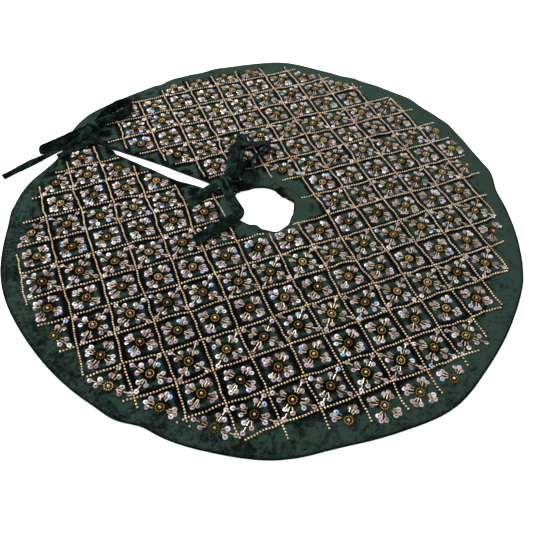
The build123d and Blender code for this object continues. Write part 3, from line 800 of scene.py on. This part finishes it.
# ---------------------------------------------------------------- sprays: sequins
# Cupped iridescent film sequins, ten millimetres across with a thread hole, three to a spray.
# Four sprays point to a cell's corners; rows of cells take a long-stalked one and a short one
# in turn. Each sequin leans its own way on its bead, and a few, picked at random, are painted
# with a white glint and a few with a blue reflection.

SEQUIN_RADIUS, SEQUIN_HOLE, SEQUIN_THICKNESS = 5.0 * MM, 1.5 * MM, 0.35 * MM
SEQUIN_SIDES = 14
LONG_REACH, SHORT_REACH = 41.0 * MM, 29.5 * MM
SIDE_OUT, SIDE_ASIDE = 24.0 * MM, 8.0 * MM
STALK_START = 12.0 * MM

sequin_film, tree = new_material("iridescent_film_sequins")
tone = add_node(tree, "ShaderNodeAttribute", {"attribute_name": "tone"}).outputs["Fac"]
coords = add_node(tree, "ShaderNodeTexCoord").outputs["Object"]
# Painted sheen: this noise sweeps each sequin's colour a little lighter and darker.
sheen = add_node(tree, "ShaderNodeTexNoise", {"Scale": 160.0, "Detail": 1.0}, {"Vector": coords})
mixed = add_node(tree, "ShaderNodeMath", {"operation": "MULTIPLY_ADD", 1: 0.16, 2: -0.08},
                 {0: sheen.outputs["Fac"]})
shifted = add_node(tree, "ShaderNodeMath", {"operation": "ADD"}, {0: mixed.outputs[0], 1: tone})
# Painted glints: the ramp runs through lilac greys, and its top end is a painted white glint and then a painted
# blue reflection, which a sequin's random tone picks now and then.
shader = add_node(tree, "ShaderNodeBsdfPrincipled", {
    "Metallic": 0.2, "Roughness": 0.36, "Coat Weight": 0.25, "Coat Roughness": 0.15}, {
    "Base Color": ramp(tree, shifted.outputs[0], [
        (0.0, "#785f63"), (0.3, "#a0898f"), (0.6, "#b7a5b1"), (0.80, "#d2c6d6"),
        (0.90, "#f3eff5"), (0.955, "#a9a6e2"), (1.0, "#7cb8ea")])})
add_node(tree, "ShaderNodeOutputMaterial", links={"Surface": shader.outputs["BSDF"]})

sequin_tree, given = geometry_tree("sequins", [
    ("Middle Radius", "Float"), ("Band", "Float"), ("Thickness", "Float"), ("Cup", "Vector"),
    ("Sides", "Int"), ("Seed", "Int"), ("Material", "Material")])
middle = add_node(sequin_tree, "GeometryNodeCurvePrimitiveCircle", links={
    "Resolution": given["Sides"], "Radius": given["Middle Radius"]})
band = add_node(sequin_tree, "GeometryNodeCurvePrimitiveQuadrilateral", links={
    "Width": given["Band"], "Height": given["Thickness"]})
cupped = add_node(sequin_tree, "GeometryNodeTransform", links={
    "Geometry": band.outputs[0], "Rotation": given["Cup"]})
disc = add_node(sequin_tree, "GeometryNodeCurveToMesh", links={
    "Curve": middle.outputs[0], "Profile Curve": cupped.outputs[0]})
finish_tree(sequin_tree, given, place_on_points(sequin_tree, given, disc.outputs[0]), False)


def spray_spots(long_stalk):
    """Sequin spots and bugle spots of every spray of one kind."""
    chance = random.Random(61 if long_stalk else 62)
    sequins, bugles = [], []
    reach = LONG_REACH if long_stalk else SHORT_REACH
    for across, down, (cx, cy) in motif_cells():
        if (down % 2 == 1) != long_stalk:
            continue
        for side_across in (0, 1):
            for side_down in (0, 1):
                corner = trellis(across + side_across, down + side_down)
                azimuth = math.atan2(corner[1] - cy, corner[0] - cx)
                tip = cx + reach * math.cos(azimuth), cy + reach * math.sin(azimuth)
                if not on_beaded_ground(*tip, SEQUIN_RADIUS, MOTIF_BORDER):
                    continue
                azimuth += chance.uniform(-0.16, 0.16)
                out_way = Vector((math.cos(azimuth), math.sin(azimuth)))
                side_way = Vector((-out_way.y, out_way.x))
                for out, aside in ((reach, 0), (SIDE_OUT, SIDE_ASIDE), (SIDE_OUT, -SIDE_ASIDE)):
                    out += chance.uniform(-1.6, 1.6) * MM
                    aside += chance.uniform(-1.6, 1.6) * MM
                    spot = Vector((cx, cy)) + out_way * out + side_way * aside
                    lean = (chance.gauss(0, 0.14), chance.gauss(0, 0.14))
                    place, turn = seated(spot.x, spot.y, 1.6 * MM, chance.uniform(0, 6.28), lean)
                    sequins.append((place, turn, (1, 1, 1)))
                    start = (Vector((cx, cy)) + out_way * (STALK_START + chance.uniform(0, 3.5) * MM)
                             + side_way * (aside * chance.uniform(0.1, 0.75)
                                           + chance.uniform(-1.5, 1.5) * MM))
                    bugles.append((start, spot))
    return sequins, bugles


spray_parts = {"long_sprays": spray_spots(True), "short_sprays": spray_spots(False)}
for name, (sequins, bugles) in spray_parts.items():
    sewn_on(f"sequins_{name}_sewn", points_object(f"sequins_{name}", sequins), sequin_tree, {
        "Middle Radius": (SEQUIN_RADIUS + SEQUIN_HOLE) / 2, "Band": SEQUIN_RADIUS - SEQUIN_HOLE,
        "Thickness": SEQUIN_THICKNESS, "Cup": (0.0, 0.0, math.radians(14)),
        "Sides": SEQUIN_SIDES, "Seed": 31, "Material": sequin_film},
        [f"sequins_{name}"])


# ---------------------------------------------------------------- sprays: bugle beads
# Gold-lined glass bugles, about ten millimetres long, run from beside the rosette to each
# sequin's hole; a long stalk is two in a chain. They go from cream to brown with the light.

BUGLE_RADIUS, BUGLE_LENGTH, BUGLE_SIDES = 1.1 * MM, 9.5 * MM, 8
bugle_glass = bead_material("gold_lined_glass_bugles",
                            [(0.15, "#6b5533"), (0.45, "#b59c70"), (0.62, "#dac9a2"), (0.85, "#f6ecd4")],
                            0.35, 0.32)
bugle_tree, given = geometry_tree("bugle_beads", [
    ("Radius", "Float"), ("Length", "Float"), ("Sides", "Int"), ("Seed", "Int"),
    ("Material", "Material")])
tube = add_node(bugle_tree, "GeometryNodeMeshCylinder", links={
    "Vertices": given["Sides"], "Radius": given["Radius"], "Depth": given["Length"]})
finish_tree(bugle_tree, given, place_on_points(bugle_tree, given, tube.outputs["Mesh"]), False)


def bugle_spots(stalks, seed):
    chance = random.Random(seed)
    spots = []
    for start, end in stalks:
        count = 2 if (end - start).length > 1.6 * BUGLE_LENGTH else 1
        for k in range(count):
            near, far = start.lerp(end, k / count), start.lerp(end, (k + 1) / count)
            middle, way = near.lerp(far, 0.5), far - near
            length = min(way.length * 0.97, BUGLE_LENGTH * 1.1)
            tilt = chance.uniform(-0.08, 0.10)
            heading = Vector((way.x, way.y, way.length * tilt))
            z = cloth_height(middle.x, middle.y) + 2.9 * MM
            spots.append(((middle.x, middle.y, z), tuple(heading.to_track_quat("Z", "Y").to_euler()),
                          (1, 1, length / BUGLE_LENGTH)))
    return spots


for name, (sequins, bugles) in spray_parts.items():
    sewn_on(f"bugles_{name}_sewn", points_object(f"bugles_{name}", bugle_spots(bugles, 71)),
            bugle_tree, {"Radius": BUGLE_RADIUS, "Length": BUGLE_LENGTH, "Sides": BUGLE_SIDES,
                         "Seed": 32, "Material": bugle_glass},
            [f"bugles_{name}"])


# ---------------------------------------------------------------- tie roots
# Four ties of plain dark green velvet, cut on the straight and sewn into flat tubes 25 mm wide.
# Each is caught into a corner of the slit and runs to its bow's knot.

STRAP_STEP = 1.7                   # mm between rings of a strap's mesh
STRAP_SIDES = 22
CREST_LIGHT = 0.075                # painted highlight: how much lighter a fold's crest is painted, and a hollow darker, for each mm it stands out

tie_velvet = velvet_material("plain_velvet_ties", "#010202", "#0a1512", "#263d35", 34.0, 0.17, 0.22)


def shade_folds(piece, folds):
    piece.data.attributes.new("fold", "FLOAT", "POINT").data.foreach_set("value", folds)


def along_curve(stations, step):
    """Stations (x, y, z, width, roll, thickness), in mm and degrees, on a smooth curve."""
    padded = [stations[0], *stations, stations[-1]]
    rows = []
    for k in range(1, len(padded) - 2):
        p0, p1, p2, p3 = padded[k - 1:k + 3]
        count = max(2, round(math.dist(p1[:3], p2[:3]) / step))
        for i in range(count):
            t = i / count
            rows.append([0.5 * (2 * b + (c - a) * t + (2 * a - 5 * b + 4 * c - d) * t * t
                                + (3 * b - a - 3 * c + d) * t ** 3)
                         for a, b, c, d in zip(p0, p1, p2, p3)])
    rows.append(list(stations[-1]))
    return rows


def strap(name, stations, gathers, body, cad_nodes, seed=0.0):
    """A flattened velvet tube through its stations. gathers is how deep lengthwise folds are
    (mm) at the strap's two ends; they die out in about 40 mm. Roll 90 stands it on edge."""
    rows = along_curve(stations, STRAP_STEP)
    travelled = [0.0]
    for a, b in zip(rows, rows[1:]):
        travelled.append(travelled[-1] + math.dist(a[:3], b[:3]))
    length = travelled[-1]
    points, faces, folds = [], [], []
    for i, (x, y, z, width, roll, thickness) in enumerate(rows):
        before, after = rows[max(i - 1, 0)], rows[min(i + 1, len(rows) - 1)]
        ahead = Vector((after[0] - before[0], after[1] - before[1], after[2] - before[2])).normalized()
        level = Vector((-ahead.y, ahead.x, 0)).normalized()
        side = Matrix.Rotation(math.radians(roll), 3, ahead) @ level
        face = ahead.cross(side)
        gather = (gathers[0] * math.exp(-travelled[i] / 24)
                  + gathers[1] * math.exp(-(length - travelled[i]) / 24))
        for k in range(STRAP_SIDES):
            turn = 2 * math.pi * k / STRAP_SIDES
            across = math.copysign(abs(math.cos(turn)) ** 0.55, math.cos(turn))
            through = math.copysign(abs(math.sin(turn)) ** 0.8, math.sin(turn))
            spot = Vector((travelled[i] * 0.055, across * width * 0.035, seed))
            crease = 2.0 * noise.noise(spot) + 0.9 * noise.noise(spot * 3.1)
            crease += gather * math.cos(across * 7.5 + 1.3 * noise.noise(spot * 0.7))
            ruffle = 1 + 0.05 * noise.noise(Vector((travelled[i] * 0.09, seed + 4.0, 0)))
            place = (Vector((x, y, z)) + side * (across * width / 2 * ruffle)
                     + face * (through * thickness / 2 + crease))
            lowest = 0.6 + (thickness if through > 0 else 0.0) * 0.4
            place.z = max(place.z, lowest)
            points.append(place * MM)
            # Painted highlight and shade: fold crests lighter, hollows darker.
            folds.append(CREST_LIGHT * crease * (1 if through > 0 else -1))
    for i in range(len(rows) - 1):
        for k in range(STRAP_SIDES):
            a, b = i * STRAP_SIDES + k, i * STRAP_SIDES + (k + 1) % STRAP_SIDES
            faces.append((a, b, b + STRAP_SIDES, a + STRAP_SIDES))
    last = (len(rows) - 1) * STRAP_SIDES
    faces.append(tuple(range(STRAP_SIDES - 1, -1, -1)))
    faces.append(tuple(last + k for k in range(STRAP_SIDES)))
    piece = mesh_piece(name, points, faces, tie_velvet)
    shade_folds(piece, folds)
    turn_outwards(piece)
    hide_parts(*cad_nodes)
    if body == "skirt":
        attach(piece, "skirt")
    return piece


strap("hem_root_upper", [(-374, 236, 5, 13, 12, 2.2), (-388, 250, 6, 14, 16, 2.4),
                         (-404, 267, 8, 15, 10, 2.8), (-416, 296, 11, 15, 0, 3.4),
                         (-421, 312, 13, 14, 0, 3.6)], (0.6, 1.0), "skirt", ["hem_tie_root_upper"], 1.0)
strap("hem_root_lower", [(-408, 262, 6, 11, 0, 4.0), (-424, 266, 8, 15, -6, 6.0),
                         (-443, 271, 8, 16, -4, 6.0), (-452, 283, 8, 15, 0, 4.0),
                         (-438, 301, 11, 14, 0, 3.6), (-429, 313, 13, 13, 0, 3.6)],
      (0.4, 1.0), "skirt", ["hem_tie_root_lower"], 2.0)
strap("hole_root_upper", [(-57, 47, 5, 13, 0, 2.2), (-68, 56, 8, 14, 0, 2.6), (-82, 66, 12, 14, 0, 3.4)],
      (0.5, 0.8), "skirt", ["hole_tie_root_upper"], 3.0)
strap("hole_root_lower", [(-76, 29, 5, 13, 0, 2.2), (-84, 40, 7, 14, 0, 2.6), (-93, 58, 12, 14, 0, 3.4)],
      (0.5, 0.8), "skirt", ["hole_tie_root_lower"], 4.0)


# ---------------------------------------------------------------- knots
# The two ties of each bow cross in a soft round knot, with one turn of velvet drawn tight over
# the top in slanting folds.

KNOT_RINGS, KNOT_SPOKES = 56, 72


def knot(name, centre, half_sizes, turn, folds, node, seed):
    points, faces, shades = [], [], []
    spin = math.radians(turn)
    for i in range(1, KNOT_RINGS):
        polar = math.pi * i / KNOT_RINGS
        for k in range(KNOT_SPOKES):
            around = 2 * math.pi * k / KNOT_SPOKES
            way = Vector((math.sin(polar) * math.cos(around), math.sin(polar) * math.sin(around),
                          math.cos(polar)))
            fold = math.cos(folds * way.x * 1.6 + 2.2 * way.y + 1.4 * noise.noise(way * 1.6 + Vector((seed, 0, 0))))
            swell = 1 + 0.075 * fold * (0.4 + 0.6 * abs(way.y) + 0.4 * max(way.z, 0))
            swell += 0.09 * noise.noise(way * 2.3 + Vector((0, seed, 0)))
            swell -= 0.10 * math.exp(-((abs(way.x) - 0.62) / 0.16) ** 2)
            # Painted highlight and shade: each fold's crest lighter, its hollow darker.
            shades.append(0.14 * fold)
            x, y, z = (way[axis] * half_sizes[axis] * swell for axis in range(3))
            points.append(Vector((centre[0] + x * math.cos(spin) - y * math.sin(spin),
                                  centre[1] + x * math.sin(spin) + y * math.cos(spin),
                                  max(centre[2] + z, 4.2))) * MM)
    rings = KNOT_RINGS - 1
    for i in range(rings - 1):
        for k in range(KNOT_SPOKES):
            a, b = i * KNOT_SPOKES + k, i * KNOT_SPOKES + (k + 1) % KNOT_SPOKES
            faces.append((a, a + KNOT_SPOKES, b + KNOT_SPOKES, b))
    faces.append(tuple(range(KNOT_SPOKES)))
    faces.append(tuple((rings - 1) * KNOT_SPOKES + k for k in range(KNOT_SPOKES - 1, -1, -1)))
    piece = mesh_piece(name, points, faces, tie_velvet)
    shade_folds(piece, shades)
    turn_outwards(piece)
    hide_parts(node)
    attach(piece, "skirt")


knot("hem_knot", (-425, 322, 16), (19, 21, 13.5), 34, 3.2, "hem_bow_knot", 1.5)
knot("hole_knot", (-93, 72, 16), (18, 23, 14), 8, 4.2, "hole_bow_knot", 4.5)


# ---------------------------------------------------------------- hem bow
# Both loops stand on edge, drawn up out of the knot; the long tail runs out over the hem to the
# floor, and the short tail lies in its shadow.

def bend_at(piece):
    """Bakes the strap's transform into its mesh."""
    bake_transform(piece)


right_loop = strap("hem_loop_right_strap", [
    (-421, 325, 15, 14, 60, 4.0), (-410, 332, 17, 18, 54, 4.6), (-396, 338, 18, 21, 50, 5.0),
    (-376, 346, 19, 23, 50, 5.0), (-355, 356, 19, 24, 54, 4.6), (-337, 371, 19, 24, 64, 4.2),
    (-324, 391, 18, 23, 82, 3.8), (-322, 408, 18, 22, 96, 3.6), (-334, 417, 18, 23, 110, 3.2),
    (-356, 409, 18, 25, 114, 3.0), (-378, 391, 18, 25, 110, 3.0), (-398, 369, 17, 22, 104, 3.0),
    (-412, 348, 16, 17, 95, 3.4), (-421, 330, 15, 14, 90, 3.8)],
    (1.6, 1.2), "hem_loop_right", ["hem_bow_loop_right"], 11.0)
bend_at(right_loop)

left_loop = strap("hem_loop_left_strap", [
    (-431, 317, 15, 14, 116, 4.0), (-445, 311, 15, 17, 116, 3.8), (-464, 299, 15, 19, 118, 3.6),
    (-490, 281, 14, 20, 120, 3.6), (-516, 264, 13, 21, 118, 3.6), (-536, 253, 13, 20, 108, 3.8),
    (-549, 248, 12.5, 18, 92, 4.2), (-554, 242, 12, 16, 78, 4.4), (-548, 237, 12, 18, 68, 4.0),
    (-532, 243, 12.5, 20, 62, 3.6), (-505, 258, 13, 21, 60, 3.4), (-477, 275, 14, 20, 60, 3.4),
    (-453, 293, 14, 17, 62, 3.6), (-433, 312, 14, 14, 66, 3.8)],
    (1.4, 1.6), "hem_loop_left", ["hem_bow_loop_left"], 14.0)
bend_at(left_loop)

long_tail = strap("hem_tail_long_strap", [
    (-428, 314, 18, 15, 0, 4.6), (-435, 300, 17, 19, -6, 7.0), (-445, 284, 15, 22, -16, 7.5),
    (-460, 270, 13, 18, -26, 5.6), (-481, 256, 11, 12, -30, 4.2), (-506, 240, 9.5, 10, -30, 4.0),
    (-532, 223, 9, 12, -32, 3.6), (-556, 206, 9.5, 15, -34, 3.4), (-578, 190, 10, 17, -34, 3.2),
    (-600, 174, 9.5, 15, -36, 3.2), (-618, 161, 9, 14, -38, 3.0), (-632, 151, 9, 14, -38, 2.6)],
    (1.6, 0.3), "hem_tail_long", ["hem_bow_tail_long"], 17.0)
bend_at(long_tail)

short_tail = strap("hem_tail_short_strap", [
    (-424, 316, 14, 13, 0, 4.0), (-422, 300, 12, 14, -6, 3.6), (-423, 283, 10, 16, -10, 3.2),
    (-433, 265, 9, 17, -12, 3.0), (-452, 250, 8.5, 15, -14, 2.8), (-474, 237, 8.5, 14, -16, 2.8),
    (-494, 225, 8, 14, -16, 2.6), (-508, 217, 8, 14, -16, 2.4)],
    (1.2, 0.3), "hem_tail_short", ["hem_bow_tail_short"], 19.0)
bend_at(short_tail)


# ---------------------------------------------------------------- hole bow
# One large loop lies nearly flat in a triangle, over a spare end of the tie; a small loop is
# crushed beside the knot; the left tail and the sharply folded front tail lie on the beads.

large_loop = strap("hole_loop_large_strap", [
    (-89, 88, 17, 17, 0, 4.0), (-80, 102, 17, 22, -4, 3.4), (-72, 122, 15, 27, -8, 3.0),
    (-66, 148, 13.5, 28, -8, 2.8), (-60, 176, 13, 28, -6, 2.8), (-54, 198, 13.5, 27, 0, 2.8),
    (-45, 212, 15, 22, 0, 3.0), (-31, 215, 15.5, 24, -8, 2.8), (-8, 213, 15, 29, -14, 2.8),
    (16, 212, 15, 28, -14, 2.8), (31, 209, 15.5, 22, 6, 3.2), (36, 201, 16, 21, 46, 3.4),
    (24, 188, 17, 23, 66, 3.0), (2, 166, 17, 24, 72, 3.0), (-20, 144, 17, 24, 74, 3.0),
    (-44, 121, 17, 23, 74, 3.0), (-66, 102, 16, 18, 70, 3.4), (-86, 87, 16, 15, 60, 3.8)],
    (1.6, 1.4), "hole_loops", ["hole_bow_loop_large"], 23.0)
bend_at(large_loop)

spare_end = strap("hole_spare_end_strap", [
    (-84, 92, 12, 15, 0, 3.4), (-70, 112, 11, 22, 0, 3.0), (-58, 136, 9.5, 27, 0, 2.8),
    (-48, 168, 9, 28, 2, 2.6), (-40, 204, 9.5, 28, 6, 2.6), (-33, 234, 10.5, 28, 10, 2.6),
    (-27, 260, 11, 28, 12, 2.4)],
    (1.2, 0.3), "hole_loops", ["hole_bow_under_strap"], 25.0)
bend_at(spare_end)

strap("hole_loop_small_strap", [
    (-84, 72, 15, 16, 70, 4.0), (-67, 62, 16, 22, 62, 3.6), (-48, 58, 16, 26, 58, 3.4),
    (-28, 68, 16, 27, 64, 3.2), (-15, 93, 16, 26, 78, 3.0), (-14, 122, 16, 25, 88, 3.0),
    (-24, 138, 16, 25, 98, 3.0), (-38, 126, 16, 26, 108, 3.0), (-50, 107, 16, 25, 114, 3.2),
    (-64, 93, 16, 21, 116, 3.6), (-82, 82, 15, 15, 112, 4.0)],
    (2.2, 2.0), "skirt", ["hole_bow_loop_small"], 28.0)

left_tail = strap("hole_tail_left_strap", [
    (-100, 73, 16, 15, 0, 4.4), (-113, 65, 17, 22, -4, 4.0), (-129, 53, 16, 26, -10, 3.4),
    (-147, 39, 14, 27, -14, 3.0), (-165, 24, 13, 27, -16, 2.8), (-184, 9, 13, 27, -16, 2.6)],
    (1.8, 0.3), "hole_tail_left", ["hole_bow_tail_left"], 31.0)
bend_at(left_tail)

front_tail = strap("hole_tail_front_strap", [
    (-95, 70, 17, 15, 0, 4.4), (-91, 52, 17, 20, 10, 4.0), (-86, 34, 15, 24, 16, 3.4),
    (-79, 12, 13, 25, 12, 3.0), (-71, -8, 12, 25, 4, 3.0), (-65, -22, 13, 23, -4, 3.4),
    (-68, -35, 14, 23, -12, 3.6), (-82, -47, 14, 26, -16, 3.2), (-105, -61, 13, 28, -18, 2.8),
    (-130, -77, 13, 28, -18, 2.8), (-152, -91, 12.5, 28, -16, 2.8), (-174, -105, 12.5, 28, -16, 2.6)],
    (1.8, 0.3), "hole_tail_front", ["hole_bow_tail_front"], 34.0)
bend_at(front_tail)


# ---------------------------------------------------------------- floor, light and camera
# A matt white studio floor. One broad soft light stands behind and to the left, a weaker one in
# front, and a white room fills the shadows.

FLOOR_SIDE = 30.0
FLOOR_GLOW = 0.55              # lit from beneath, as a photographer's white table is

floor_paint, tree = new_material("matt_white_floor")
coords = add_node(tree, "ShaderNodeTexCoord").outputs["Object"]
clouding = add_node(tree, "ShaderNodeTexNoise", {"Scale": 0.8}, {"Vector": coords})
shader = add_node(tree, "ShaderNodeBsdfPrincipled", {
    "Roughness": 0.9, "Specular IOR Level": 0.1, "Emission Color": linear("#ffffff"),
    "Emission Strength": FLOOR_GLOW}, {
    "Base Color": ramp(tree, clouding.outputs["Fac"], [(0.0, "#f6f6f5"), (1.0, "#fbfbfa")])})
add_node(tree, "ShaderNodeOutputMaterial", links={"Surface": shader.outputs["BSDF"]})
half = FLOOR_SIDE / 2
floor = mesh_piece("floor", [(-half, -half, 0), (half, -half, 0), (half, half, 0), (-half, half, 0)],
                   [(0, 1, 2, 3)], floor_paint, False)


def soft_light(name, place, size, power, aim=(0.0, 0.0, 0.0)):
    light = bpy.data.lights.new(name, "AREA")
    light.shape, light.size, light.energy = "DISK", size, power
    lamp = bpy.data.objects.new(name, light)
    lamp.location = place
    lamp.rotation_euler = (Vector(aim) - Vector(place)).to_track_quat("-Z", "Y").to_euler()
    bpy.context.scene.collection.objects.link(lamp)


soft_light("key_light", (-1.5, 2.0, 2.4), 1.0, 110.0)
soft_light("front_light", (1.2, -2.0, 2.4), 2.4, 14.0)

world = bpy.data.worlds.new("white_room")
world.use_nodes = True
world.node_tree.nodes["Background"].inputs["Color"].default_value = linear("#ffffff")
world.node_tree.nodes["Background"].inputs["Strength"].default_value = 0.6
bpy.context.scene.world = world
bpy.context.scene.view_settings.view_transform = "Standard"

camera_data = bpy.data.cameras.new("camera")
camera_data.sensor_width, camera_data.lens = 36.0, 36.54
camera = bpy.data.objects.new("camera", camera_data)
camera.matrix_world = Matrix((
    (0.99000, 0.08538, -0.11226, -0.1577),
    (-0.13587, 0.79088, -0.59670, -0.9065),
    (0.03784, 0.60598, 0.79458, 0.9593),
    (0.0, 0.0, 0.0, 1.0)))
bpy.context.scene.collection.objects.link(camera)
bpy.context.scene.camera = camera
